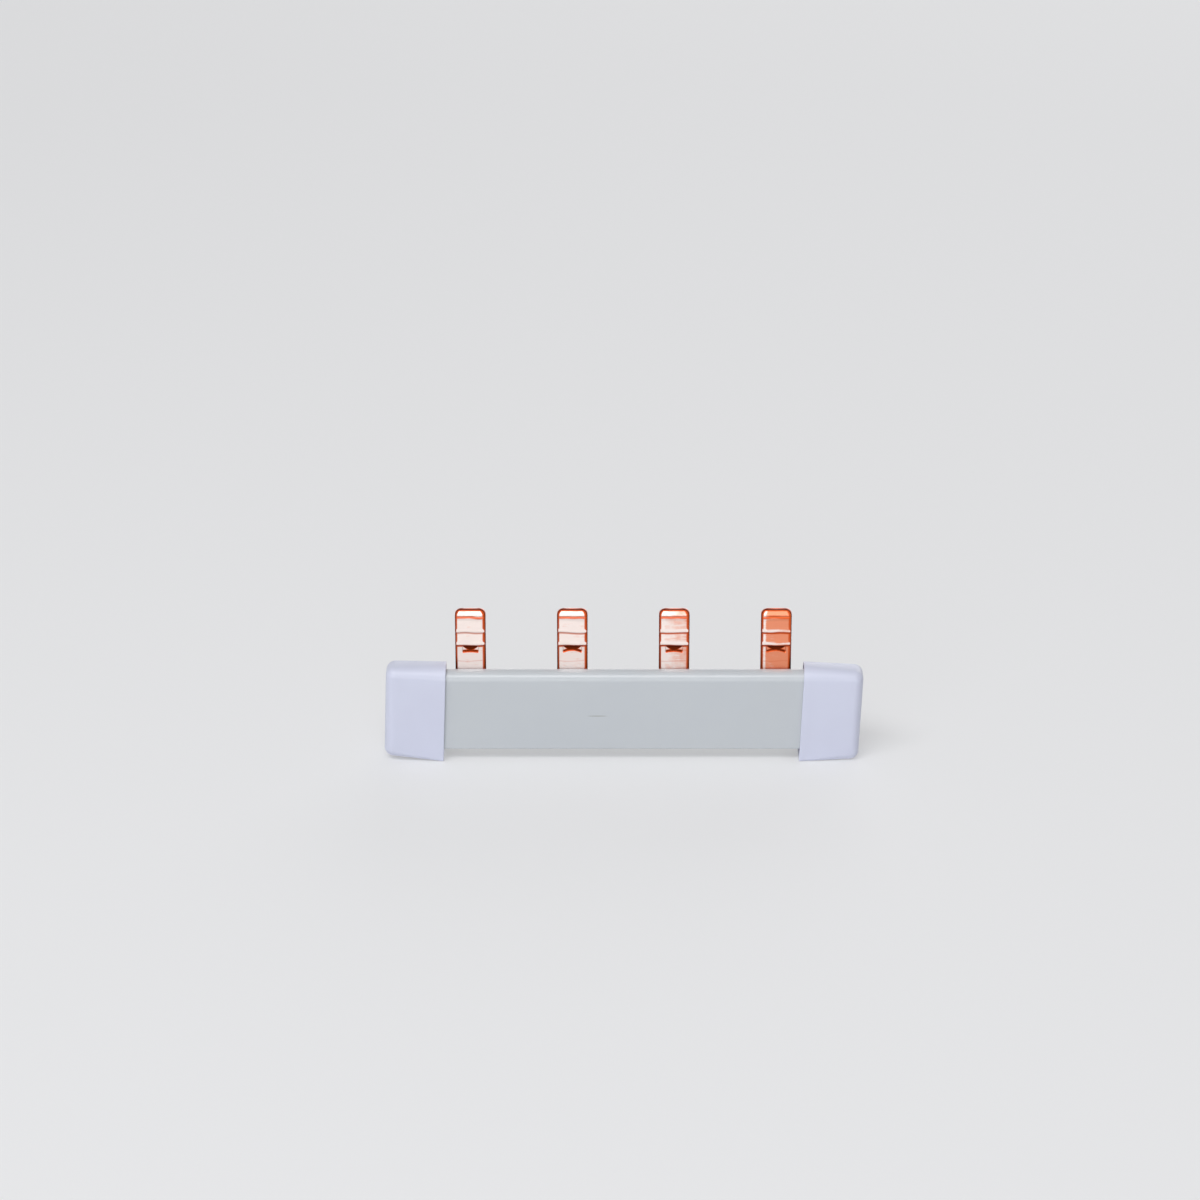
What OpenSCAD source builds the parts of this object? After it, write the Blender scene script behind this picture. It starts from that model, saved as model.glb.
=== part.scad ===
// Comb busbar for a row of single-pole breakers.
// A stamped copper comb stands in an extruded insulating profile, and a push-on cap closes each end.
// X runs along the bar, the flat front of the housing faces -Y, and the bar stands on its two caps at Z = 0.

/* [Copper comb] */
// Number of pins, one for each breaker
pin_count = 4; // [2:1:12]
// Distance from one pin to the next, one breaker module
pin_pitch = 18; // [14:0.1:27]
// Width of a pin
pin_width = 5.4; // [4:0.1:7]
// Thickness of the copper sheet that the comb is stamped from
copper_t = 1.5; // [1:0.1:2]
// Height of the strip that joins the pins inside the housing
strip_height = 9.6; // [7:0.1:14]
// Length of pin that stands above the housing
pin_reach = 11.2; // [10.8:0.1:16]
// How far the pins are cranked back from the strip
crank_shift = 1.25; // [0.8:0.05:2]
// Angle of the crank from the upright, in degrees
crank_angle = 38; // [25:1:50]
// Radius of a pin's two upper corners
pin_corner_r = 1.2; // [0.4:0.1:1.8]
// How far the strip ends short of each end of the housing
strip_setback = 0.5; // [0:0.1:4]

/* [Pin coining] */
// Height of the lead-in bevel at the tip
tip_bevel_h = 1.1; // [0.4:0.1:1.4]
// Depth of the lead-in bevel at the tip
tip_bevel_d = 0.45; // [0.1:0.05:0.45]
// Bevel along the long front edges of a pin
edge_bevel = 0.4; // [0.1:0.05:0.8]
// How far each grip ridge stands proud of the face
ridge_d = 0.2; // [0.05:0.05:0.4]
// Distance from the tip to the crest of the first ridge
ridge_start = 4.05; // [3.6:0.05:4.2]
// Distance from one ridge crest to the next
ridge_pitch = 2.45; // [2.3:0.05:2.6]
// Steep fall below each crest
ridge_fall = 0.45; // [0.2:0.05:0.8]
// Depth of the coined pocket below the last ridge
pocket_d = 0.25; // [0.1:0.05:0.4]
// Height of the coined pocket at its ends
pocket_h = 1.35; // [0.8:0.05:1.6]
// Width of the coined pocket
pocket_w = 3.9; // [2:0.1:4]
// Rise of the arch that bounds the pocket below
pocket_rise = 0.6; // [0.2:0.05:0.75]

/* [Housing profile] */
// Housing that runs past the middle of the end modules
profile_overrun = 9; // [7:0.1:12]
// Front wall of the profile
front_wall = 1.05; // [0.7:0.05:1.6]
// Rear wall of the profile
rear_wall = 0.85; // [0.6:0.05:1.4]
// Floor of the profile
floor_t = 1.05; // [0.7:0.05:1.6]
// Thickness of the lip over the strip
lip_t = 1.5; // [1:0.05:2.5]
// Radius of the upper front edge
lip_r = 1.8; // [0.6:0.1:1.9]
// How far the rear wall ends below the lip
rear_drop = 2.3; // [1.6:0.1:4]
// Radius of the two lower edges
foot_r = 0.4; // [0.1:0.05:0.6]
// Running clearance between the copper and the plastic
copper_gap = 0.1; // [0.05:0.05:0.2]
// Room between the top of the crank and the lip
crank_headroom = 0.5; // [0.2:0.1:1]
// Height of each rib behind the strip
rib_h = 0.8; // [0.5:0.1:1.5]
// Distance of the ribs from the strip's lower and upper edges
rib_inset = 1.4; // [0.5:0.1:2]

/* [End caps] */
// Length of a cap
cap_length = 10.6; // [8:0.1:16]
// How much of the profile each cap covers
cap_cover = 4.35; // [3:0.05:5]
// Wall of a cap
cap_wall = 0.45; // [0.4:0.05:0.8]
// Clearance between the two faces of the profile's end and a cap
cap_side_gap = 0.05; // [0.02:0.01:0.2]
// Clearance above the profile's end in a leaning cap
cap_top_gap = 0.07; // [0.03:0.01:0.5]
// Clearance below the profile's end in a leaning cap
cap_foot_gap = 1.42; // [0.1:0.01:2.5]
// Draft of a cap's upper and lower walls, in degrees
cap_draft = 2.3; // [0:0.1:2.5]
// Draft of a cap's front and rear walls, in degrees
cap_side_draft = 0.5; // [0:0.1:1]
// Lean of the left cap on the profile, in degrees
left_lean = 2; // [0:0.1:2.3]
// Lean of the right cap on the profile, in degrees
right_lean = 2.3; // [0:0.1:2.3]
// Radius of a cap's two upper edges at its mouth
cap_top_r = 2.2; // [1:0.1:2.4]
// Radius of a cap's two lower edges at its mouth
cap_foot_r = 0.4; // [0.1:0.1:1]
// Radius of the ball corners at a cap's closed end
cap_end_r = 1.6; // [0.8:0.1:2.2]

/* [Hidden] */
$fn = 64;
over = 1;        // how far a cutter runs past what it cuts
rim_r = 0.3;     // radius of the profile's two upper rims
least_r = 0.2;   // least radius of a cap's corners, inside and at its end
corner_steps = 8;   // facets of each of a cap's corners, seen from its end
round_steps = 8;    // facets of the quarter round at a cap's closed end
wall_steps = 4;     // stretches that a cap's straight walls are made in

// Depths in the profile, from its front face towards the rear.
strip_y = front_wall + copper_gap;
pin_y = strip_y + crank_shift;
lip_end_y = pin_y - copper_gap;
rear_wall_y = pin_y + copper_t + copper_gap;
profile_d = rear_wall_y + rear_wall;

// Heights in the profile, from its underside.
strip_z = floor_t + copper_gap;
strip_top = strip_z + strip_height;
crank_rise = crank_shift / tan(crank_angle);
crank_lead = copper_t * tan(crank_angle / 2);
crank_z = strip_top + crank_lead;
cavity_top = crank_z + crank_rise + crank_headroom;
profile_h = cavity_top + lip_t;
pin_top = profile_h + pin_reach;
ridge_count = 2;
ridge_crests = [for (i = [0:ridge_count - 1]) pin_top - ridge_start - i * ridge_pitch];
rib_heights = [strip_z + rib_inset, strip_top - rib_inset - rib_h];

// Lengths along the bar.
comb_span = (pin_count - 1) * pin_pitch;
profile_l = comb_span + 2 * profile_overrun;
strip_l = profile_l - 2 * strip_setback;
mouth_x = profile_l / 2 - cap_cover;

// A cap's mouth. The free height there is the clearance at the profile's end, and what the
// draft and the lean of the cap take from it over the length that it covers.
mouth_top_gap = cap_top_gap + cap_cover * tan(cap_draft + right_lean);
mouth_foot_gap = cap_foot_gap + cap_cover * tan(cap_draft + left_lean);
cap_h = profile_h + mouth_top_gap + mouth_foot_gap + 2 * cap_wall;
cap_d = profile_d + 2 * (cap_side_gap + cap_cover * tan(cap_side_draft) + cap_wall);

// Heights when the bar stands on its caps: the left one on the edge of its mouth, the right
// one on its underside, or on its end where it leans by more than its draft.
left_foot = cap_h / 2 * cos(left_lean);
right_foot = cap_h / 2 * cos(right_lean)
    + max(0, cap_length * (sin(right_lean) - tan(cap_draft) * cos(right_lean)));
mouth_z = max(left_foot, right_foot);
profile_z = mouth_z - cap_h / 2 + cap_wall + mouth_foot_gap;
profile_y = -profile_d / 2;

// Extrudes an outline drawn in (Y, Z) along X, about X = 0.
module along_x(length) {
    rotate([90, 0, 90]) linear_extrude(length, center = true) children();
}

// Extrudes an outline drawn in (X, Z) from y0 to y1.
module along_y(y0, y1) {
    translate([0, y1, 0]) rotate([90, 0, 0]) linear_extrude(y1 - y0) children();
}

// A rectangle from [0, 0] with a radius of its own at each corner, given as lower left,
// lower right, upper right and upper left.
module rounded_rectangle(w, h, r) {
    corner = [[0, 0], [w, 0], [w, h], [0, h]];
    inward = [[1, 1], [-1, 1], [-1, -1], [1, -1]];
    polygon([
        for (i = [0:3], leaving = [0, 1])
            let (upright = (i + leaving) % 2)
            corner[i] + r[i] * [inward[i][0] * upright, inward[i][1] * (1 - upright)]
    ]);
    for (i = [0:3]) if (r[i] > 0) translate(corner[i] + r[i] * inward[i]) circle(r[i]);
}

// A pin from the side, in (Y, Z): it rises from the strip, is cranked back, and ends in a
// bevelled tip. The grip ridges slope out from the face and fall back steeply.
module pin_side() {
    rear = strip_y + copper_t;
    pin_rear = pin_y + copper_t;
    polygon([
        [strip_y, strip_z], [strip_y, crank_z], [pin_y, crank_z + crank_rise],
        [pin_y, pin_top - tip_bevel_h], [pin_y + tip_bevel_d, pin_top],
        [pin_rear - tip_bevel_d, pin_top], [pin_rear, pin_top - tip_bevel_h],
        [pin_rear, crank_z + crank_rise - crank_lead], [rear, crank_z - crank_lead], [rear, strip_z]
    ]);
    for (crest = ridge_crests)
        polygon([
            [pin_y + tip_bevel_d, crest], [pin_y, crest - ridge_fall],
            [pin_y - ridge_d, crest], [pin_y, crest + ridge_pitch - ridge_fall]
        ]);
}

// A pin from the front, in (X, Z), with its two upper corners rounded.
module pin_front() {
    translate([-pin_width / 2, strip_z])
        rounded_rectangle(pin_width, pin_top - strip_z, [0, 0, pin_corner_r, pin_corner_r]);
}

// The pocket coined under the lower ridge, in (X, Z). An arch bounds it below.
module pocket_front() {
    arch_r = (pow(pocket_w / 2, 2) + pow(pocket_rise, 2)) / (2 * pocket_rise);
    pocket_top = min(ridge_crests) - ridge_fall;
    difference() {
        translate([-pocket_w / 2, pocket_top - pocket_h]) square([pocket_w, pocket_h]);
        translate([0, pocket_top - pocket_h + pocket_rise - arch_r]) circle(arch_r);
    }
}

// One of the two bevels along a blade's long front edges, as a cutter above z0.
module edge_cutter(z0) {
    front = pin_y - ridge_d - over;
    translate([0, 0, z0]) linear_extrude(pin_top + over - z0)
        polygon([
            [pin_width / 2 - edge_bevel + (front - pin_y), front],
            [pin_width / 2 + over, front],
            [pin_width / 2 + over, pin_y + edge_bevel + over]
        ]);
}

module pin() {
    difference() {
        intersection() {
            along_x(pin_width) pin_side();
            along_y(0, profile_d) pin_front();
        }
        for (side = [0, 1]) mirror([side, 0, 0]) edge_cutter(profile_h - lip_t / 2);
        along_y(pin_y - ridge_d - over, pin_y + pocket_d) pocket_front();
    }
}

// The comb is stamped from one sheet: the strip and all its pins are one piece.
module copper_comb() {
    color("#dd8560") translate([0, profile_y, profile_z]) {
        translate([-strip_l / 2, strip_y, strip_z]) cube([strip_l, copper_t, strip_height]);
        for (i = [0:pin_count - 1]) translate([i * pin_pitch - comb_span / 2, 0, 0]) pin();
    }
}

// The profile from its end, in (Y, Z): a channel whose front wall turns over the strip as a
// lip, a slot behind the lip for the pins, and a lower rear wall with two ribs that hold the
// strip forward.
module profile_section() {
    difference() {
        union() {
            rounded_rectangle(lip_end_y, profile_h, [foot_r, 0, rim_r, lip_r]);
            rounded_rectangle(profile_d, profile_h - rear_drop, [foot_r, foot_r, rim_r, 0]);
        }
        translate([front_wall, floor_t]) square([rear_wall_y - front_wall, cavity_top - floor_t]);
        translate([lip_end_y, floor_t]) square([rear_wall_y - lip_end_y, profile_h]);
    }
    rib_y = strip_y + copper_t + copper_gap;
    for (z = rib_heights) translate([rib_y, z]) square([profile_d - rear_wall / 2 - rib_y, rib_h]);
}

module insulating_profile() {
    color("#bfc3c9") translate([0, profile_y, profile_z]) along_x(profile_l) profile_section();
}

// A ring of points around the bar at x: a rectangle of half depth d and half height h, with a
// radius of its own at each corner, given counter-clockwise from the upper rear one.
function corner_ring(x, d, h, r) = [
    for (i = [0:3], step = [0:corner_steps])
        let (turn = 90 * (i + step / corner_steps), y_side = [1, -1, -1, 1][i], z_side = [1, 1, -1, -1][i])
        [x, y_side * (d - r[i]) + r[i] * cos(turn), z_side * (h - r[i]) + r[i] * sin(turn)]
];

// A cap's ring at x, drawn in by the inset. The walls keep their draft to the end, and each
// corner goes from its radius at the mouth to that of the end by the share of the way there.
function cap_ring(x, inset, share, end_r) = corner_ring(
    x,
    cap_d / 2 - inset - x * tan(cap_side_draft),
    cap_h / 2 - inset - x * tan(cap_draft),
    [for (mouth_r = [cap_top_r, cap_top_r, cap_foot_r, cap_foot_r])
        max((1 - share) * mouth_r + share * end_r - inset, least_r)]
);

// The rings of a cap's outer or inner face, from the mouth to the closed end. Straight walls
// lead into a quarter round, which draws the last rings in.
function cap_rings(inset) =
    let (length = cap_length - inset, end_r = cap_end_r - inset, straight = length - end_r)
    concat(
        [for (i = [0:wall_steps - 1]) cap_ring(straight * i / wall_steps, inset, i / wall_steps, cap_end_r)],
        [for (i = [0:round_steps])
            let (turn = 90 * i / round_steps, drawn_in = end_r * (1 - cos(turn)))
            cap_ring(straight + end_r * sin(turn), inset + drawn_in, 1, cap_end_r)]
    );

// A cap is one shell of even wall. Its rings run from the closed end to the mouth outside,
// and back to the bottom of the pocket inside, and a fan closes each end.
module cap_shell() {
    outer = cap_rings(0);
    inner = cap_rings(cap_wall);
    rings = concat([for (i = [len(outer) - 1:-1:0]) outer[i]], inner);
    n = len(rings[0]);
    last = len(rings) - 1;
    points = concat([for (ring = rings, point = ring) point], [[cap_length, 0, 0], [cap_length - cap_wall, 0, 0]]);
    walls = [for (i = [0:last - 1], j = [0:n - 1], half = [0, 1])
        let (k = (j + 1) % n)
        half == 0 ? [i * n + j, (i + 1) * n + j, (i + 1) * n + k] : [i * n + j, (i + 1) * n + k, i * n + k]];
    ends = [for (j = [0:n - 1], inside = [0, 1])
        let (k = (j + 1) % n)
        inside == 0 ? [n * (last + 1), j, k] : [n * (last + 1) + 1, last * n + k, last * n + j]];
    polyhedron(points, concat(walls, ends));
}

// Each cap sits over an end of the profile and leans clockwise on it, seen from the front.
module left_end_cap() {
    color("#d5d7ea") translate([-mouth_x, 0, mouth_z])
        rotate([0, left_lean, 0]) mirror([1, 0, 0]) cap_shell();
}

module right_end_cap() {
    color("#d5d7ea") translate([mouth_x, 0, mouth_z]) rotate([0, right_lean, 0]) cap_shell();
}

copper_comb();
insulating_profile();
left_end_cap();
right_end_cap();
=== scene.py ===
import bpy
import numpy as np
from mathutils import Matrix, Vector


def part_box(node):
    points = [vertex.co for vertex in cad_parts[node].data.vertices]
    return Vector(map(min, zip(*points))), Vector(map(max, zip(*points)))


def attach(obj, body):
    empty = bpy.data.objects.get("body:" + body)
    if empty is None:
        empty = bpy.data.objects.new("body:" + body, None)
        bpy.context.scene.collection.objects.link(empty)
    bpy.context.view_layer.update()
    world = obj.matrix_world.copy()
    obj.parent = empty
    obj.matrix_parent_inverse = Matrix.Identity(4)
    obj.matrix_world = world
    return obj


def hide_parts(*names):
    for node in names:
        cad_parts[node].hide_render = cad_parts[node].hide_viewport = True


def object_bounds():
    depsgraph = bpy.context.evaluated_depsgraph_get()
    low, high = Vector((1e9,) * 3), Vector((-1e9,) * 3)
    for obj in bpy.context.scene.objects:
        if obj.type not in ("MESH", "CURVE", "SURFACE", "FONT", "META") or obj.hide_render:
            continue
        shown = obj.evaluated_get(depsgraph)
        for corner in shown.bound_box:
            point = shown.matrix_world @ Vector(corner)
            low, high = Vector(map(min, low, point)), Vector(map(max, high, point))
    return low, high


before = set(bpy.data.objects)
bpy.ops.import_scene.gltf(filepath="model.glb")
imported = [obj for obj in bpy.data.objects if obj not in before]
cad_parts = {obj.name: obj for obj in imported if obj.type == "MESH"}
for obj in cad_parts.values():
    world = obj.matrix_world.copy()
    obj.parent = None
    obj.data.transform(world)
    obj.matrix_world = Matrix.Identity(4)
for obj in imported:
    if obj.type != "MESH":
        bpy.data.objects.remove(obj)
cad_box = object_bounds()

# Copper comb
# One stamping of hard rolled copper: a strip along the housing with a row of pins. The press
# cranks each pin back and coins its face with a lead-in bevel, two grip ridges and a small
# pocket. Its faces are bright, and its edges are painted darker, partly as sheared copper and
# partly as painted shade.

MM = 0.001
COPPER = 1.5 * MM
STRIP_HEIGHT = 9.6 * MM
STRIP_ROUND = 0.1 * MM
PIN_COUNT = 4
PIN_PITCH = 18 * MM
PIN_WIDTH = 5.4 * MM
PIN_CORNER = 1.2 * MM
# A pin's root reaches down into the strip, a hair inside its faces, and fillets into its top.
ROOT_DEPTH = 1.5 * MM
ROOT_INSET = 0.01 * MM
ROOT_INSET_BELOW = 0.2 * MM
ROOT_FILLET = 0.5 * MM
CRANK_START = 0.52 * MM
CRANK_RISE = 1.6 * MM
CRANK_TOP = 3.2 * MM
BEND_RADIUS = 0.3 * MM
TIP_BEVEL = (0.45 * MM, 1.1 * MM)
# The long bevels fade out at the foot, shrink where the copper is thin, and nearly vanish at a crest.
LONG_BEVEL = 0.4 * MM
LONG_BEVEL_FOOT = (11.9 * MM, 11.3 * MM)
FULL_THICKNESS = 1.0 * MM
CREST_REACH = 0.3 * MM
CREST_CUT = 0.75
EDGE_ROUND = 0.12 * MM
# All levels on a pin's face are distances below its tip.
COINED_FROM = (1.05 * MM, 1.2 * MM)
GROOVE_LEVEL = 1.3 * MM
GROOVE_HALF = 0.18 * MM
GROOVE_DEPTH = 0.07 * MM
RIDGE_CRESTS = (4.05 * MM, 6.5 * MM)
RIDGE_PROUD = 0.2 * MM
RIDGE_SLOPE = 2.0 * MM
RIDGE_FALL = 0.45 * MM
RIDGE_STRAY = 0.07 * MM
POCKET_SPAN = (6.95 * MM, 8.1 * MM)
POCKET_DEPTH = 0.22 * MM
POCKET_HALF_WIDTH = np.array([1.4, 1.65, 1.5, 1.7]) * MM
POCKET_RISE = np.array([0.12, 0.42, 0.2, 0.36]) * MM
comb_low, comb_high = (np.array(corner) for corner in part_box("copper_comb"))
pin_places = (np.arange(PIN_COUNT) - (PIN_COUNT - 1) / 2) * PIN_PITCH
strip_top = comb_low[2] + STRIP_HEIGHT
strip_front = comb_low[1]
pin_front = comb_high[1] - COPPER
pin_tip = comb_high[2]


def step(value, start, end):
    """Goes smoothly from 0 at start to 1 at end, as 3t^2 - 2t^3."""
    t = np.clip((value - start) / (end - start), 0, 1)
    return t * t * (3 - 2 * t)


def hump(value, half, power=2):
    """1 where the value is 0, and less on both sides: e to the power of -(value / half)^power."""
    return np.exp(-(value / half) ** power)


def wander(place, seed, wavelength, waves=5):
    """A gentle random line between about -1 and 1.

    It is a sum of sines, whose lengths and phases are drawn by the seed.
    """
    draw = np.random.default_rng(seed)
    total = 0
    for i in range(waves):
        length, phase = wavelength * draw.uniform(0.6, 1.8), draw.uniform(0, 2 * np.pi)
        total = total + np.sin(2 * np.pi * place / length + phase)
    return total / waves ** 0.5


def ridge_line(x, pin, ridge):
    """How far a ridge's crest strays from its level: press marks are never quite straight."""
    return RIDGE_STRAY * wander(x, 10 * pin + ridge, 5 * MM)


def pocket_foot(x, pin):
    """Level of the pocket's lower bound: a parabola that is highest in the middle."""
    return POCKET_SPAN[1] - POCKET_RISE[pin] * (1 - np.clip(x / POCKET_HALF_WIDTH[pin], -1, 1) ** 2)


def coined_face(x, drop, pin):
    """How far a pin's front stands proud of its plane, at x from its middle and drop below its tip.

    Each ridge slopes out to its crest and falls back steeply. The pocket is a shallow dish under
    the lower ridge, and a groove runs below the lead-in bevel.
    """
    proud = 0
    for ridge, crest in enumerate(RIDGE_CRESTS):
        level = drop - crest - ridge_line(x, pin, ridge)
        slope = np.clip(1 + level / RIDGE_SLOPE, 0, 1)
        proud = proud + RIDGE_PROUD * slope * (1 - step(level, 0, RIDGE_FALL))
    inside = step(POCKET_HALF_WIDTH[pin] - np.abs(x), -0.1 * MM, 0.1 * MM)
    inside = inside * step(drop - POCKET_SPAN[0], -0.1 * MM, 0.15 * MM)
    inside = inside * step(pocket_foot(x, pin) - drop, -0.12 * MM, 0.12 * MM)
    return proud - POCKET_DEPTH * inside - GROOVE_DEPTH * hump(drop - GROOVE_LEVEL, GROOVE_HALF)


def half_width(drop):
    """Half the width of a pin at a drop below its tip, where quarter rounds take its corners off."""
    past_corner = np.clip((PIN_CORNER - drop) / PIN_CORNER, 0, 1)
    return PIN_WIDTH / 2 - PIN_CORNER * (1 - np.sqrt(1 - past_corner ** 2))


def tip_bevel(drop):
    """How far the lead-in bevel draws a pin's front and rear in: straight up to the tip."""
    return TIP_BEVEL[0] * np.clip(1 - drop / TIP_BEVEL[1], 0, 1)


def bent_line(z, low, high, start):
    """Goes from low to high over the crank's rise, averaged over the bend radius to round both bends."""
    offsets = np.linspace(-BEND_RADIUS, BEND_RADIUS, 9)
    rise = [start, start + CRANK_RISE]
    return np.mean([np.interp(z + offset, rise, [low, high]) for offset in offsets], axis=0)


def pin_surface(pin):
    """A pin as rings of points from its root to its tip.

    Every ring is the same outline, a rectangle with two bevelled front corners and two rounded
    rear ones, and its width, front and rear are functions of the height.
    """
    z = np.concatenate([
        np.linspace(strip_top - ROOT_DEPTH, strip_top + CRANK_TOP, 32)[:-1],
        np.linspace(strip_top + CRANK_TOP, pin_tip - PIN_CORNER, 180)[:-1],
        pin_tip - PIN_CORNER + PIN_CORNER * np.sin(np.linspace(0, np.pi / 2, 10))])
    drop = pin_tip - z
    from_strip = np.clip((z - strip_top) / ROOT_FILLET, 0, 1)
    half = half_width(drop) + ROOT_FILLET * (1 - np.sqrt(1 - (1 - from_strip) ** 2))
    inset = tip_bevel(drop) + ROOT_INSET * (z < strip_top - ROOT_INSET_BELOW)
    front = bent_line(z, strip_front, pin_front, strip_top + CRANK_START) + inset
    rear = bent_line(z, strip_front + COPPER, pin_front + COPPER, strip_top) - inset
    crests = sum(hump(drop - crest, CREST_REACH) for crest in RIDGE_CRESTS)
    long_bevel = LONG_BEVEL * step(z, *(pin_tip - level for level in LONG_BEVEL_FOOT))
    long_bevel = np.maximum(long_bevel * (1 - CREST_CUT * np.clip(crests, 0, 1)), EDGE_ROUND)
    long_bevel = long_bevel * np.minimum(1, (rear - front) / FULL_THICKNESS)

    # Round the outline: the front flat, a bevel, a side, a rear corner, the rear flat, and back.
    half, front, rear, drop, long_bevel = (a[:, None] for a in (half, front, rear, drop, long_bevel))
    x_flat = np.linspace(-1, 1, 53) * (half - long_bevel)
    y_flat = front - coined_face(x_flat, drop, pin) * step(drop, *COINED_FROM)
    edge_y = y_flat[:, -1:]
    share = np.linspace(0, 1, 5)[1:]
    x_bevel = half - long_bevel * (1 - share)
    y_bevel = edge_y + (front + long_bevel - edge_y) * share
    down = np.linspace(0, 1, 7)[1:-1]
    x_side = half + 0 * down
    y_side = front + long_bevel + (rear - EDGE_ROUND - front - long_bevel) * down
    quarter = np.linspace(0, np.pi / 2, 5)
    x_corner = half - EDGE_ROUND * (1 - np.cos(quarter))
    y_corner = rear - EDGE_ROUND * (1 - np.sin(quarter))
    x_rear = np.linspace(1, -1, 17)[1:-1] * (half - EDGE_ROUND)
    right_x = np.hstack([x_bevel, x_side, x_corner])
    right_y = np.hstack([y_bevel, y_side, y_corner])
    left_y = right_y.copy()
    left_y[:, :share.size] += (y_flat[:, :1] - edge_y) * (1 - share)
    x = np.hstack([x_flat, right_x, x_rear, -right_x[:, ::-1]])
    y = np.hstack([y_flat, right_y, rear + 0 * x_rear, left_y[:, ::-1]])
    return np.stack([x + pin_places[pin], y, z[:, None] + 0 * x], axis=-1)


def strip_surface():
    """The strip as rings along its length.

    Every ring is a rectangle with rounded corners, and a quarter round of the same radius draws
    the rings in at both ends.
    """
    quarter = np.linspace(0, np.pi / 2, 5)
    turn = np.concatenate([quarter + i * np.pi / 2 for i in range(4)])
    side_y, side_z = np.repeat([1, -1, -1, 1], 5), np.repeat([1, 1, -1, -1], 5)
    inward, drawn = STRIP_ROUND * (1 - np.cos(quarter)), STRIP_ROUND * (1 - np.sin(quarter))
    x = np.concatenate([comb_low[0] + inward, comb_high[0] - inward[::-1]])[:, None]
    corner = STRIP_ROUND - np.concatenate([drawn, drawn[::-1]])[:, None]
    y = strip_front + COPPER / 2 + side_y * (COPPER / 2 - STRIP_ROUND) + corner * np.cos(turn)
    z = comb_low[2] + STRIP_HEIGHT / 2 + side_z * (STRIP_HEIGHT / 2 - STRIP_ROUND) + corner * np.sin(turn)
    return np.stack([x + 0 * y, y, z], axis=-1)


def ringed_mesh(name, rings, flat_ends=False):
    """A closed mesh from rings of points, which go round counter-clockwise about the way they advance.

    Quads join each ring to the next. A fan of triangles, or one flat face, closes both ends.
    """
    count, around = rings.shape[:2]
    i, j = np.meshgrid(np.arange(count - 1), np.arange(around), indexing="ij")
    k = (j + 1) % around
    faces = np.stack([
        i * around + j, i * around + k, (i + 1) * around + k, (i + 1) * around + j], axis=-1)
    faces = faces.reshape(-1, 4).tolist()
    points = rings.reshape(-1, 3)
    first = np.arange(around)
    last = first + (count - 1) * around
    if flat_ends:
        faces += [first[::-1].tolist(), last.tolist()]
    else:
        points = np.vstack([points, rings[0].mean(axis=0), rings[-1].mean(axis=0)])
        faces += np.stack([np.roll(first, -1), first, 0 * first + count * around], axis=-1).tolist()
        faces += np.stack([last, np.roll(last, -1), 0 * last + count * around + 1], axis=-1).tolist()
    mesh = bpy.data.meshes.new(name)
    mesh.from_pydata(points.tolist(), [], faces)
    mesh.update()
    piece = bpy.data.objects.new(name, mesh)
    bpy.context.scene.collection.objects.link(piece)
    return piece


def joined(piece, others):
    """The union of a piece with others as one closed mesh."""
    for other in others:
        union = piece.modifiers.new("union", "BOOLEAN")
        union.operation, union.solver, union.object = "UNION", "MANIFOLD", other
    evaluated = piece.evaluated_get(bpy.context.evaluated_depsgraph_get())
    mesh = bpy.data.meshes.new_from_object(evaluated)
    mesh.materials.clear()
    piece.modifiers.clear()
    piece.data = mesh
    for other in others:
        bpy.data.objects.remove(other)
    return piece


def smooth(piece, degrees):
    """Shades a piece smooth, apart from edges sharper than the angle."""
    piece.data.shade_smooth()
    piece.data.set_sharp_from_angle(angle=np.radians(degrees))


pins = [ringed_mesh("pin", pin_surface(i)) for i in range(PIN_COUNT)]
comb = joined(ringed_mesh("comb", strip_surface()), pins)
smooth(comb, 50)
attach(comb, "root")
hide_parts("copper_comb")

# Bright coined copper with a thin oxide skin: the pressed flats mirror softly and look pale
# salmon. The edges are a dark orange brown, partly sheared copper and partly painted shade.
# Painted shade darkens the groove, the feet of the ridges, the pocket and the tip, and a painted
# highlight brightens the crests.
COPPER_BRIGHT = "#f3e5e0"
COPPER_WARM = "#e48f6e"
# The edge colours, orange and dark brown, paint sheared copper and painted shade alike.
COPPER_EDGE = "#d25a2a"
COPPER_BROWN = "#62210c"
# How dull each pin is at its middle, and how much duller towards its right side.
PIN_DULLNESS = ((-0.1, 0.0), (-0.05, 0.05), (0.2, 0.32), (0.9, 0.25))
# The dark band inside the left and the right edge, partly sheared copper and partly painted
# shade, wider on the shaded right; and how dark the painted shade under each pin's upper ridge is.
EDGE_BAND = (0.5 * MM, 0.7 * MM)
EDGE_DARK = (0.12 * MM, 0.3 * MM)
# Painted shade: the tip's top and its arris are painted dark, though they face the light.
TIP_DARK = (0.1 * MM, 0.42 * MM)
UPPER_LINE = np.array([0.36, 0.42, 0.55, 0.74])
# How dark the painted shade under the lower ridge is.
LOWER_LINE = 0.8
# Where a bright stripe runs along the left of the front, as a share of the half width.
BRIGHT_STRIPE_PLACE = 0.76
# The level of a faint dark line, below the tip.
FAINT_LINE_LEVEL = 9.8 * MM
# Patterns per metre: press marks 2.9 mm long and 0.33 mm apart, and stains of 1.4 mm.
PRESS_MARKS = (350, 350, 3000)
STAINS = 700.0


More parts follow.
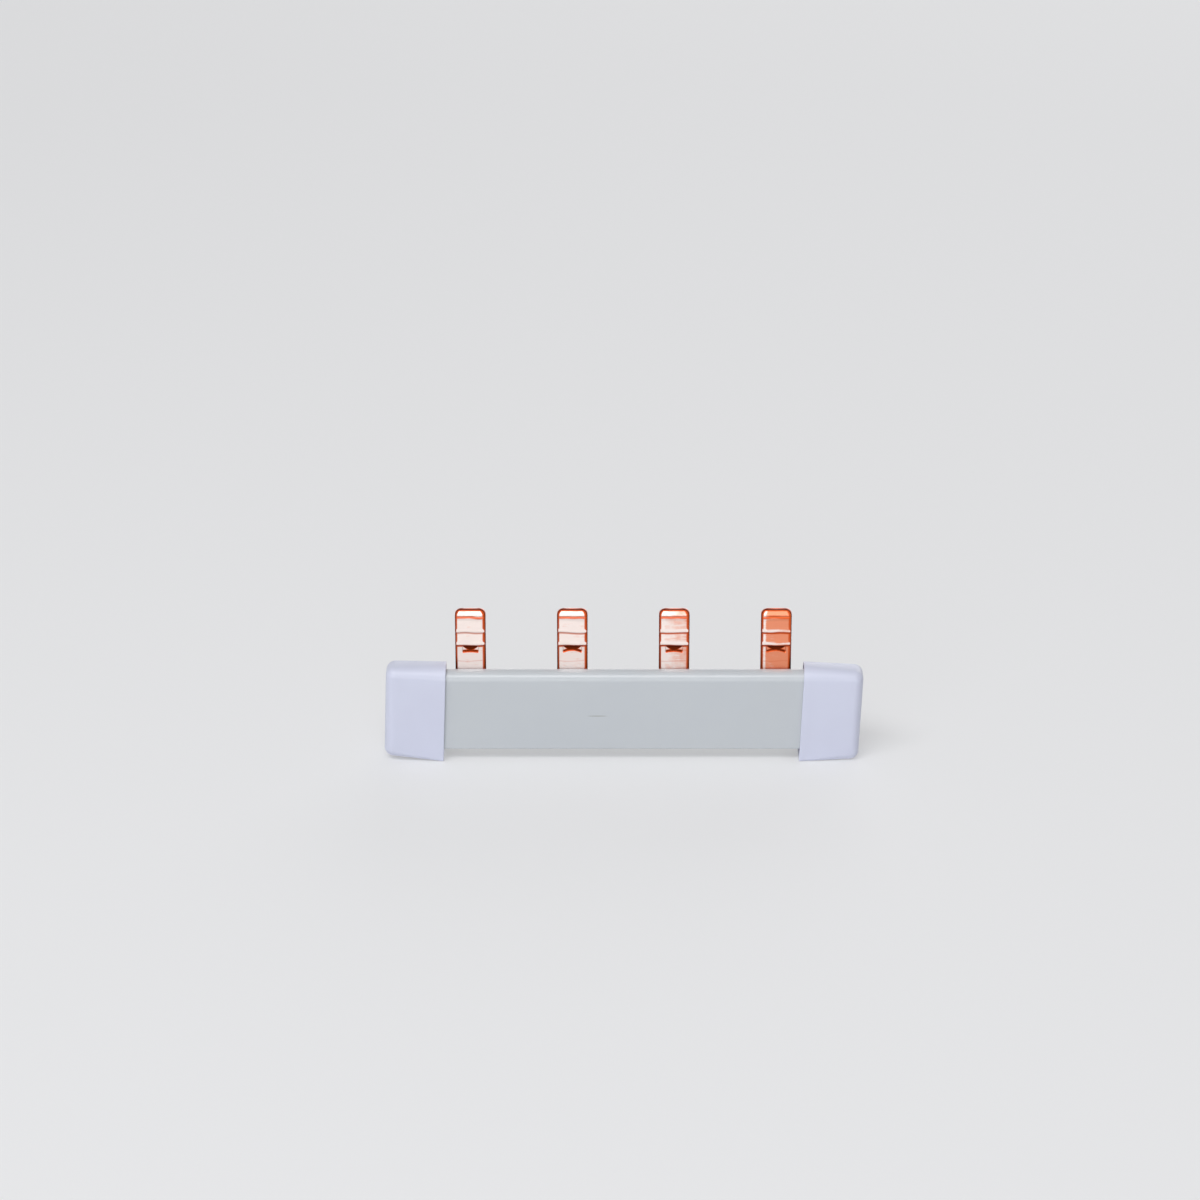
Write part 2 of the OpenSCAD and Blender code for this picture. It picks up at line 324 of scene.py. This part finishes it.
def edge_paint(x, across, drop, nearest, below, crests):
    """How dark a pin's face is painted, from 0 on the flats to 1 in the darkest corners.

    It is the largest of the bands along the edges, partly sheared copper and partly painted shade,
    the painted shade in the groove and under the ridges, a faint dark line, and the painted shade
    in the two arches of the pocket.
    """
    side = half_width(drop) - np.abs(across)
    band = np.where(across > 0, EDGE_BAND[1], EDGE_BAND[0]) * (1 - 0.7 * crests)
    groove = drop - 1.42 * MM - 0.07 * MM * wander(x, 7, 4 * MM)
    mark = drop - FAINT_LINE_LEVEL - 0.06 * MM * wander(x, 8, 6 * MM)
    bands = [
        0.62 * (1 - step(side, 0.55 * band, band)),
        1 - step(side, *EDGE_DARK),
        1 - step(drop, *TIP_DARK),
        # Painted shade in the groove, and under both ridges.
        0.47 * hump(groove, 0.28 * MM, 4),
        0.2 * hump(mark, 0.12 * MM),
        UPPER_LINE[nearest] * hump(below[0] - 0.36 * MM, 0.2 * MM),
        LOWER_LINE * hump(below[1] - 0.36 * MM, 0.2 * MM)]
    # Painted shade in the pocket: an arch below the lower ridge and one along the pocket's foot.
    arch = 1 - np.clip(across / POCKET_HALF_WIDTH[nearest], -1, 1) ** 2
    bow = RIDGE_CRESTS[1] + (0.5 + 0.75 * arch) * MM
    upper = (1 - step(drop, bow - 0.1 * MM, bow + 0.1 * MM)) * step(drop, 6.7 * MM, 6.8 * MM)
    lower = hump(drop - pocket_foot(across, nearest) + 0.1 * MM, 0.25 * MM, 4)
    inside = step(POCKET_HALF_WIDTH[nearest] - np.abs(across), -0.1 * MM, 0.15 * MM)
    return np.max(bands + [inside * np.maximum(upper, lower)], axis=0)


def paint_comb(piece):
    """Writes two attributes: one for sheared copper and painted shade, one for how dull a face is, with
    painted highlights on the crests.
    """
    points = np.empty(len(piece.data.vertices) * 3)
    piece.data.vertices.foreach_get("co", points)
    x, y, z = points.reshape(-1, 3).T
    nearest = np.abs(x[:, None] - pin_places).argmin(axis=1)
    across = x - pin_places[nearest]
    drop = pin_tip - z
    below = []
    for ridge, crest in enumerate(RIDGE_CRESTS):
        strays = np.array([ridge_line(across, pin, ridge) for pin in range(PIN_COUNT)])
        below.append(drop - crest - strays[nearest, np.arange(nearest.size)])
    crests = np.clip(sum(hump(fall + 0.15 * MM, 0.28 * MM) for fall in below), 0, 1)
    # Edges, partly sheared copper and partly painted shade, with the painted shade lines and pocket.
    edge = edge_paint(x, across, drop, nearest, below, crests)

    # The rear has no coining, only its own sheared edges.
    half = half_width(drop)
    behind = step(y - pin_front - tip_bevel(drop), 0.35 * MM, 0.6 * MM)
    rear_edge = 0.62 * (1 - step(half - np.abs(across), 0.02 * MM, 0.12 * MM))
    edge = edge * (1 - behind) + behind * rear_edge
    # Painted highlight: the crests are made bright, and a bright stripe runs along the left of the front.
    level, slope = np.array(PIN_DULLNESS)[nearest].T
    crest_highlight_and_stripe = crests + hump(across + BRIGHT_STRIPE_PLACE * half, 0.22 * MM)
    dull = level + slope * across / half - 0.9 * crest_highlight_and_stripe * (1 - behind)
    for name, values in (("edge", edge), ("dullness_and_highlight", dull)):
        layer = piece.data.attributes.new(name, "FLOAT", "POINT")
        layer.data.foreach_set("value", values.astype(np.float32))


def linear(hex_colour):
    """An sRGB hex colour as linear RGBA."""
    srgb = np.array([int(hex_colour[i:i + 2], 16) for i in (1, 3, 5)]) / 255
    return (*np.where(srgb <= 0.04045, srgb / 12.92, ((srgb + 0.055) / 1.055) ** 2.4), 1.0)


def bare_material(name):
    """A material that has no nodes yet."""
    material = bpy.data.materials.new(name)
    material.use_nodes = True
    material.node_tree.nodes.clear()
    return material


def add_node(material, kind, links=None, **settings):
    """Adds a node, whose sockets take the sources that links gives.

    A setting goes to the node's own property, or to the socket of that name, with _ for a space.
    """
    node = material.node_tree.nodes.new(kind)
    for key, value in settings.items():
        if hasattr(node, key):
            setattr(node, key, value)
    for key, value in settings.items():
        if not hasattr(node, key):
            node.inputs[key.replace("_", " ")].default_value = value
    for key, source in (links or {}).items():
        material.node_tree.links.new(source, node.inputs[key])
    return node


def copper_finish():
    """Bright and warm copper mixed by marks, stains, each pin's dullness and the painted highlight on the
    crests, under the colours of the edges and the painted shade.
    """
    material = bare_material("coined_copper")
    place = add_node(material, "ShaderNodeTexCoord").outputs["Object"]
    edge = add_node(material, "ShaderNodeAttribute", attribute_name="edge").outputs["Fac"]
    dullness_and_highlight = add_node(material, "ShaderNodeAttribute", attribute_name="dullness_and_highlight").outputs["Fac"]
    across = add_node(material, "ShaderNodeMapping", {"Vector": place}, Scale=PRESS_MARKS)
    marks = add_node(material, "ShaderNodeTexNoise", {"Vector": across.outputs[0]}, Scale=1.0, Detail=4.0)
    stains = add_node(material, "ShaderNodeTexNoise", {"Vector": place}, Scale=STAINS, Detail=5.0)
    mottle = add_node(material, "ShaderNodeMath", {
        0: marks.outputs["Fac"], 1: stains.outputs["Fac"]}, operation="ADD").outputs[0]
    amount = add_node(material, "ShaderNodeMath", {0: mottle, 1: dullness_and_highlight}, operation="ADD")
    dull = add_node(material, "ShaderNodeMapRange", {
        "Value": amount.outputs[0]}, From_Min=1.0, From_Max=1.75)
    face = add_node(material, "ShaderNodeMix", {"Factor": dull.outputs[0]}, data_type="RGBA")
    face.inputs[6].default_value, face.inputs[7].default_value = linear(COPPER_BRIGHT), linear(COPPER_WARM)
    # The ramp paints the edges and the painted shade orange and dark brown.
    ramp = add_node(material, "ShaderNodeValToRGB", {"Fac": edge})
    for stop, position, colour in zip(ramp.color_ramp.elements, (0.62, 1.0), (COPPER_EDGE, COPPER_BROWN)):
        stop.position, stop.color = position, linear(colour)
    reach = add_node(material, "ShaderNodeMapRange", {"Value": edge}, From_Min=0.05, From_Max=0.5)
    tone = add_node(material, "ShaderNodeMix", {
        "Factor": reach.outputs[0], 6: face.outputs[2], 7: ramp.outputs[0]}, data_type="RGBA")
    rough = add_node(material, "ShaderNodeMapRange", {
        "Value": mottle}, From_Min=0.6, From_Max=1.4, To_Min=0.3, To_Max=0.46)
    bump = add_node(material, "ShaderNodeBump", {"Height": mottle}, Strength=0.25, Distance=0.03 * MM)
    shader = add_node(material, "ShaderNodeBsdfPrincipled", {
        "Base Color": tone.outputs[2], "Roughness": rough.outputs[0],
        "Normal": bump.outputs[0]}, Metallic=1.0)
    add_node(material, "ShaderNodeOutputMaterial", {"Surface": shader.outputs[0]})
    return material


paint_comb(comb)
comb.data.materials.append(copper_finish())

# Insulating profile
# An extrusion of pale grey rigid PVC that the comb slides into: the front wall turns over the
# strip as a lip, the pins stand in the slot behind it, and two ribs press the strip forward.
# The saw leaves its ends square, inside the caps.

FRONT_WALL = 1.05 * MM
REAR_WALL = 0.85 * MM
REAR_DROP = 2.3 * MM
CHANNEL_FLOOR = 1.05 * MM
LIP = 1.5 * MM
LIP_RADIUS = 1.8 * MM
RIM_RADIUS = 0.3 * MM
FOOT_RADIUS = 0.4 * MM
COPPER_GAP = 0.1 * MM
RIB = 0.8 * MM
RIB_INSET = 1.4 * MM
profile_low, profile_high = (np.array(corner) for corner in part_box("insulating_profile"))


def arc(centre_y, centre_z, radius, start, end, steps):
    """Points on a circle from one angle to another, in degrees."""
    turn = np.radians(np.linspace(start, end, steps))
    return np.stack([centre_y + radius * np.cos(turn), centre_z + radius * np.sin(turn)], axis=-1)


def profile_outline():
    """The section in (Y, Z) as one closed line, counter-clockwise from the lower front corner."""
    front, rear = profile_low[1], profile_high[1]
    foot, top = profile_low[2], profile_high[2]
    lip_end = pin_front - COPPER_GAP
    rear_face = rear - REAR_WALL
    rear_top = top - REAR_DROP
    rib_face = strip_front + COPPER + COPPER_GAP
    ribs = []
    for level in (strip_top - RIB_INSET - RIB, comb_low[2] + RIB_INSET):
        ribs += [(rear_face, level + RIB), (rib_face, level + RIB), (rib_face, level), (rear_face, level)]
    return np.vstack([
        arc(front + FOOT_RADIUS, foot + FOOT_RADIUS, FOOT_RADIUS, 180, 270, 8),
        arc(rear - FOOT_RADIUS, foot + FOOT_RADIUS, FOOT_RADIUS, 270, 360, 8),
        arc(rear - RIM_RADIUS, rear_top - RIM_RADIUS, RIM_RADIUS, 0, 90, 8),
        [(rear_face, rear_top)],
        ribs,
        [(rear_face, foot + CHANNEL_FLOOR), (front + FRONT_WALL, foot + CHANNEL_FLOOR)],
        [(front + FRONT_WALL, top - LIP), (lip_end, top - LIP)],
        arc(lip_end - RIM_RADIUS, top - RIM_RADIUS, RIM_RADIUS, 0, 90, 8),
        arc(front + LIP_RADIUS, top - LIP_RADIUS, LIP_RADIUS, 90, 180, 33)])


def profile_surface():
    """The section carried straight along X, as 61 rings."""
    outline = profile_outline()
    x = np.linspace(profile_low[0], profile_high[0], 61)
    rings = np.empty((x.size, len(outline), 3))
    rings[..., 0], rings[..., 1:] = x[:, None], outline
    return rings


profile = ringed_mesh("profile", profile_surface(), flat_ends=True)
smooth(profile, 40)
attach(profile, "root")
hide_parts("insulating_profile")

# Extruded PVC: an even, slightly cloudy grey with a soft sheen, which fine die lines along its
# length blur upwards and downwards.
PVC_TONES = ("#bec3c9", "#c2c7cb")
SCRATCH_TONE = "#85867b"
SCRATCH_MIDDLE = (-4.6 * MM, profile_low[1], profile_low[2] + 6.6 * MM)
SCRATCH_HALF = (2.0 * MM, 0.5 * MM, 0.06 * MM)
# Patterns per metre: clouds of 11 mm, and die lines 33 mm long and 0.4 mm apart.
PVC_CLOUDS = 90.0
DIE_LINES = (30, 2500, 2500)


def pvc_finish():
    """Cloudy grey with die lines, and a hair-thin scratch drawn as a flattened ball of darker tone."""
    material = bare_material("extruded_grey_pvc")
    place = add_node(material, "ShaderNodeTexCoord").outputs["Object"]
    clouds = add_node(material, "ShaderNodeTexNoise", {"Vector": place}, Scale=PVC_CLOUDS, Detail=3.0)
    tone = add_node(material, "ShaderNodeMix", {"Factor": clouds.outputs["Fac"]}, data_type="RGBA")
    tone.inputs[6].default_value, tone.inputs[7].default_value = (linear(colour) for colour in PVC_TONES)
    ball = add_node(material, "ShaderNodeMapping", {
        "Vector": place}, vector_type="TEXTURE", Location=SCRATCH_MIDDLE, Scale=SCRATCH_HALF)
    far = add_node(material, "ShaderNodeVectorMath", {0: ball.outputs[0]}, operation="LENGTH")
    scratch = add_node(material, "ShaderNodeMapRange", {
        "Value": far.outputs["Value"]}, From_Min=1.0, From_Max=0.7)
    marked = add_node(material, "ShaderNodeMix", {
        "Factor": scratch.outputs[0], 6: tone.outputs[2]}, data_type="RGBA")
    marked.inputs[7].default_value = linear(SCRATCH_TONE)
    along = add_node(material, "ShaderNodeMapping", {"Vector": place}, Scale=DIE_LINES)
    lines = add_node(material, "ShaderNodeTexNoise", {"Vector": along.outputs[0]}, Scale=1.0, Detail=3.0)
    bump = add_node(material, "ShaderNodeBump", {
        "Height": lines.outputs["Fac"]}, Strength=0.15, Distance=0.02 * MM)
    shader = add_node(material, "ShaderNodeBsdfPrincipled", {
        "Base Color": marked.outputs[2], "Normal": bump.outputs[0]}, Roughness=0.27, IOR=1.54)
    add_node(material, "ShaderNodeOutputMaterial", {"Surface": shader.outputs[0]})
    return material


profile.data.materials.append(pvc_finish())

# End caps
# Two thin shells moulded in milky white plastic, pushed over the ends of the profile. They have
# draft on every wall, a rounder top than foot to match the profile, and ball corners at the
# closed end. Both have settled a little clockwise on the profile.

CAP_LENGTH = 10.6 * MM
CAP_HEIGHT = 17.92 * MM
CAP_DEPTH = 5.926 * MM
CAP_WALL = 0.45 * MM
CAP_DRAFT = np.radians(2.3)
CAP_SIDE_DRAFT = np.radians(0.5)
# Corner radii at the mouth run into the radius at the closed end, and a shoulder is part flat.
CAP_TOP_RADIUS = 2.2 * MM
CAP_FOOT_RADIUS = 0.4 * MM
CAP_END_RADIUS = 1.6 * MM
CAP_LEAST_RADIUS = 0.2 * MM
CAP_SHOULDER_FLAT = 0.22
CAP_RIM_ROUND = 0.09 * MM


def cap_ring(x, inset, share):
    """Rings of a cap at each x from its mouth: rectangles with rounded corners in (Y, Z).

    Their sides follow the draft and are drawn in by the inset. Share goes from 0 at the mouth to
    1 at the closed end, and takes the corner radii along.
    """
    half_y = (CAP_DEPTH / 2 - inset - x * np.tan(CAP_SIDE_DRAFT))[:, None]
    half_z = (CAP_HEIGHT / 2 - inset - x * np.tan(CAP_DRAFT))[:, None]
    turn = np.linspace(0, np.pi / 2, 17)
    chord = np.linspace(0, 1, 17)
    corners = []
    for side_y, side_z, mouth, flat in (
            (1, 1, CAP_TOP_RADIUS, CAP_SHOULDER_FLAT), (-1, 1, CAP_TOP_RADIUS, CAP_SHOULDER_FLAT),
            (-1, -1, CAP_FOOT_RADIUS, 0), (1, -1, CAP_FOOT_RADIUS, 0)):
        radius = (1 - share) * mouth + share * CAP_END_RADIUS - inset
        radius = np.maximum(radius, CAP_LEAST_RADIUS)[:, None]
        turn_y = (1 - flat) * np.cos(turn) + flat * (1 - chord)
        turn_z = (1 - flat) * np.sin(turn) + flat * chord
        if side_y * side_z < 0:
            turn_y, turn_z = turn_y[::-1], turn_z[::-1]
        corners.append(np.stack([
            x[:, None] + 0 * turn,
            side_y * (half_y - radius + radius * turn_y),
            side_z * (half_z - radius + radius * turn_z)], axis=-1))
    return np.concatenate(corners, axis=1)


def cap_surface():
    """A cap as rings from its closed end to the mouth outside, over a rounded rim, and back inside.

    Each face is a straight drafted wall that leads into a quarter round at the closed end.
    """
    faces = []
    quarter = np.linspace(0, np.pi / 2, 17)
    share = np.linspace(0, 1, 25)[:-1]
    for wall in (0, CAP_WALL):
        radius = CAP_END_RADIUS - wall
        straight = CAP_LENGTH - wall - radius
        x = np.concatenate([
            CAP_RIM_ROUND + (straight - CAP_RIM_ROUND) * share, straight + radius * np.sin(quarter)])
        inset = wall + np.concatenate([0 * share, radius * (1 - np.cos(quarter))])
        faces.append(cap_ring(x, inset, np.concatenate([share, 1 + 0 * quarter])))
    rim = np.linspace(0, np.pi, 9)[1:-1]
    rim_x = CAP_RIM_ROUND * (1 - np.sin(rim))
    rim_outside = CAP_RIM_ROUND * (1 - np.cos(rim))
    rim_inside = CAP_WALL - CAP_RIM_ROUND * (1 + np.cos(rim))
    rim_inset = np.where(rim <= np.pi / 2, rim_outside, rim_inside)
    return np.concatenate([faces[0][::-1], cap_ring(rim_x, rim_inset, 0 * rim), faces[1]])


def leaned(rings, node, degrees, mirrored):
    """Turns a cap clockwise, seen from the front, and puts it in the middle of its CAD node's box."""
    low, high = (np.array(corner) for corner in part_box(node))
    rings = rings * [-1, 1, 1] if mirrored else rings[:, ::-1]
    turn = np.radians(degrees)
    x, y, z = rings[..., 0], rings[..., 1], rings[..., 2]
    x, z = x * np.cos(turn) + z * np.sin(turn), z * np.cos(turn) - x * np.sin(turn)
    rings = np.stack([x, y, z], axis=-1)
    middle = (rings.min(axis=(0, 1)) + rings.max(axis=(0, 1))) / 2
    return rings + (low + high) / 2 - middle


# Moulded milky plastic: a cool off-white with a satin sheen and a spark-eroded grain.
CAP_TONES = ("#cacde0", "#cfd3e5")
# Patterns per metre: clouds of 8 mm, and a grain of 0.45 mm, coarser than the real one so that it shows.
CAP_CLOUDS = 120.0
CAP_GRAIN = 2200.0


def cap_finish():
    """Cloudy off-white with a fine grain."""
    material = bare_material("moulded_milky_plastic")
    place = add_node(material, "ShaderNodeTexCoord").outputs["Object"]
    clouds = add_node(material, "ShaderNodeTexNoise", {"Vector": place}, Scale=CAP_CLOUDS, Detail=3.0)
    tone = add_node(material, "ShaderNodeMix", {"Factor": clouds.outputs["Fac"]}, data_type="RGBA")
    tone.inputs[6].default_value, tone.inputs[7].default_value = (linear(colour) for colour in CAP_TONES)
    grain = add_node(material, "ShaderNodeTexNoise", {"Vector": place}, Scale=CAP_GRAIN, Detail=2.0)
    bump = add_node(material, "ShaderNodeBump", {
        "Height": grain.outputs["Fac"]}, Strength=0.12, Distance=0.02 * MM)
    shader = add_node(material, "ShaderNodeBsdfPrincipled", {
        "Base Color": tone.outputs[2], "Normal": bump.outputs[0]}, Roughness=0.4, IOR=1.49)
    add_node(material, "ShaderNodeOutputMaterial", {"Surface": shader.outputs[0]})
    return material


cap_material = cap_finish()
for name, node, degrees, mirrored in (
        ("cap_left", "left_end_cap", 2.0, True), ("cap_right", "right_end_cap", 2.3, False)):
    cap = ringed_mesh(name, leaned(cap_surface(), node, degrees, mirrored))
    smooth(cap, 40)
    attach(cap, "root")
    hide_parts(node)
    cap.data.materials.append(cap_material)

# Studio
# A plain floor of pale paper, a large softbox above the front and to the left, two weaker ones
# low in front and behind, and an even pale room.

FLOOR_REACH = 3.0
FLOOR_LEVEL = cad_box[0][2]
PAPER = "#e6e7ea"
# The room's strength as light, and as what the camera and shiny surfaces see.
ROOM_LIGHT = 0.32
ROOM_SEEN = 0.9
# The floor goes over into the room from this near to this far, from this share on.
FADE_FROM = 0.4
FADE_TO = 2.5
FADE_SHARE = 0.35

floor_mesh = bpy.data.meshes.new("floor")
corners = [(-1, -1), (1, -1), (1, 1), (-1, 1)]
floor_mesh.from_pydata([(x * FLOOR_REACH, y * FLOOR_REACH, 0) for x, y in corners], [], [(0, 1, 2, 3)])
floor = bpy.data.objects.new("floor", floor_mesh)
floor.location.z = FLOOR_LEVEL
bpy.context.scene.collection.objects.link(floor)


def floor_finish():
    """Pale paper that takes the shadow, and that glossy and transmission rays see as the room.

    The camera sees part of the room's tone in it too, and all of it far away.
    """
    material = bare_material("pale_paper")
    paper = add_node(material, "ShaderNodeBsdfPrincipled", Roughness=0.7)
    paper.inputs["Base Color"].default_value = linear(PAPER)
    room = add_node(material, "ShaderNodeEmission", Color=(1, 1, 1, 1), Strength=ROOM_SEEN)
    path = add_node(material, "ShaderNodeLightPath")
    place = add_node(material, "ShaderNodeTexCoord").outputs["Object"]
    far = add_node(material, "ShaderNodeVectorMath", {0: place}, operation="LENGTH")
    fade = add_node(material, "ShaderNodeMapRange", {
        "Value": far.outputs["Value"]}, From_Min=FADE_FROM, From_Max=FADE_TO, To_Min=FADE_SHARE, To_Max=1.0)
    camera_sees = add_node(material, "ShaderNodeMath", {
        0: path.outputs["Is Camera Ray"], 1: fade.outputs[0]}, operation="MULTIPLY")
    shiny_sees = add_node(material, "ShaderNodeMath", {
        0: path.outputs["Is Glossy Ray"], 1: path.outputs["Is Transmission Ray"]}, operation="MAXIMUM")
    seen = add_node(material, "ShaderNodeMath", {
        0: shiny_sees.outputs[0], 1: camera_sees.outputs[0]}, operation="MAXIMUM")
    both = add_node(material, "ShaderNodeMixShader", {
        0: seen.outputs[0], 1: paper.outputs[0], 2: room.outputs[0]})
    add_node(material, "ShaderNodeOutputMaterial", {"Surface": both.outputs[0]})
    return material


floor.data.materials.append(floor_finish())

world = bpy.data.worlds.new("room")
bpy.context.scene.world = world
world.use_nodes = True
world.node_tree.nodes.clear()
path = add_node(world, "ShaderNodeLightPath")
seen = add_node(world, "ShaderNodeMath", {
    0: path.outputs["Is Camera Ray"], 1: path.outputs["Is Glossy Ray"]}, operation="MAXIMUM")
seen = add_node(world, "ShaderNodeMath", {
    0: seen.outputs[0], 1: path.outputs["Is Transmission Ray"]}, operation="MAXIMUM")
level = add_node(world, "ShaderNodeMapRange", {"Value": seen.outputs[0]}, To_Min=ROOM_LIGHT, To_Max=ROOM_SEEN)
room = add_node(world, "ShaderNodeBackground", {"Strength": level.outputs[0]}, Color=(1, 1, 1, 1))
add_node(world, "ShaderNodeOutputWorld", {"Surface": room.outputs[0]})


def softbox(name, azimuth, elevation, size, power, distance=1.4):
    """A rectangular lamp that faces the object, from an azimuth (0 in front, + right) and an elevation."""
    light = bpy.data.lights.new(name, "AREA")
    light.shape, light.size, light.size_y, light.energy = "RECTANGLE", size[0], size[1], power
    lamp = bpy.data.objects.new(name, light)
    a, e = np.radians(azimuth), np.radians(elevation)
    lamp.location = Vector((np.sin(a) * np.cos(e), -np.cos(a) * np.cos(e), np.sin(e))) * distance
    lamp.rotation_mode = "QUATERNION"
    lamp.rotation_quaternion = lamp.location.to_track_quat("Z", "Y")
    lamp.visible_camera = False
    bpy.context.scene.collection.objects.link(lamp)


softbox("key", -25, 55, (1.2, 0.5), 11.0)
softbox("low_front", -12, 14, (1.4, 0.6), 4.3)
softbox("low_back", 160, 16, (1.2, 0.6), 4.0)

camera = bpy.data.objects.new("camera", bpy.data.cameras.new("camera"))
bpy.context.scene.collection.objects.link(camera)
bpy.context.scene.camera = camera
camera.data.lens, camera.data.sensor_width = 131.4, 36
camera.data.clip_start, camera.data.clip_end = 0.05, 20
camera.location = Vector((-4.11, -703.8, 343.6)) * MM
camera.rotation_euler = (np.radians(90 - 24), 0, 0)

view = bpy.context.scene.view_settings
view.view_transform = "Standard"
